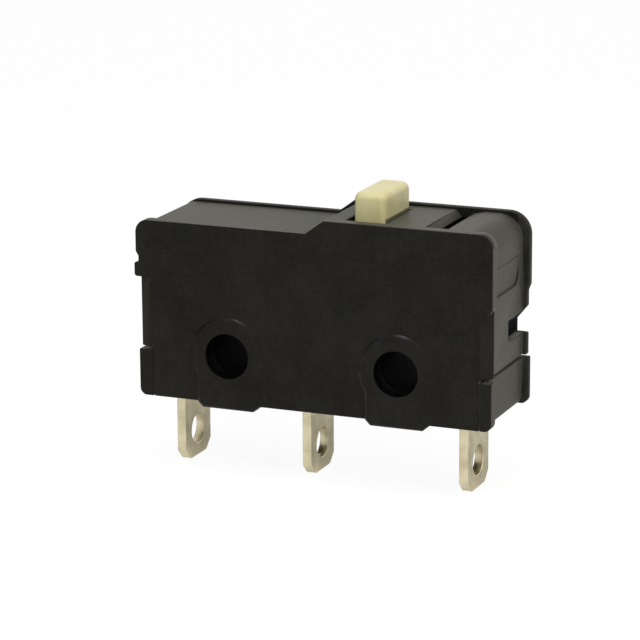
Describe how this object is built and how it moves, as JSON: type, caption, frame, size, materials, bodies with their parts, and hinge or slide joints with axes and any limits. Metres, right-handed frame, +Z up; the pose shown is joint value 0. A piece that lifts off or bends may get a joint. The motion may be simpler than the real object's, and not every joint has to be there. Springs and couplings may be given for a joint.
{
  "type": "micro switch",
  "caption": "Small snap-action switch in a flat moulded housing, with a push plunger in the stepped top and flat solder lugs underneath.",
  "frame": {"origin": "middle of the two mounting holes, halfway through the housing's thickness", "axes": "+X along the housing towards the plunger end, +Y through the thickness to the back broad face, +Z up, the way the plunger points"},
  "size_m": [0.02, 0.0064, 0.0157],
  "materials": {
    "cover_plastic": "moulded, fine matt",
    "base_plastic": "moulded, fine matt",
    "plunger_plastic": "moulded, satin",
    "lever_steel": "rolled strip",
    "arm_metal": "rolled copper alloy strip",
    "contact_metal": "silver faced",
    "terminal_metal": "silver plated, satin",
    "spring_steel": "drawn wire"
  },
  "bodies": {
    "housing": {"case_base": "base_plastic", "case_cover": "cover_plastic", "com_terminal": "terminal_metal", "no_terminal": "terminal_metal", "nc_terminal": "terminal_metal", "no_contact": "contact_metal", "nc_contact": "contact_metal"},
    "plunger": {"plunger": "plunger_plastic"},
    "push_lever": {"push_lever": "lever_steel"},
    "contact_arm": {"contact_arm": "arm_metal", "moving_contact": "contact_metal"},
    "snap_spring": {"snap_spring": "spring_steel"}
  },
  "joints": [
    {"name": "plunger_press", "type": "slide", "parent": "housing", "child": "plunger", "axis": [0, 0, -1], "range_m": [0, 0.00095], "stiffness_N_per_m": 400, "springref_m": -0.0025},
    {"name": "push_lever_hinge", "type": "hinge", "parent": "housing", "child": "push_lever", "pos_m": [0.007, 0, 0.0035], "axis": [0, -1, 0], "range_deg": [0, 13.95]},
    {"name": "contact_arm_hinge", "type": "hinge", "parent": "housing", "child": "contact_arm", "pos_m": [0.001, 0, 0.00348], "axis": [0, -1, 0], "range_deg": [0, 3.94]},
    {"name": "snap_spring_swing", "type": "hinge", "parent": "contact_arm", "child": "snap_spring", "pos_m": [-0.0046, 0, 0.00368], "axis": [0, 1, 0], "range_deg": [0, 10]}
  ],
  "couplings": [
    {"joint": "push_lever_hinge", "follows": "plunger_press", "rad_per_m": 255.44},
    {"joint": "contact_arm_hinge", "follows": "plunger_press", "rad_per_m": 72.112},
    {"joint": "snap_spring_swing", "follows": "plunger_press", "rad_per_m": 182.89}
  ]
}
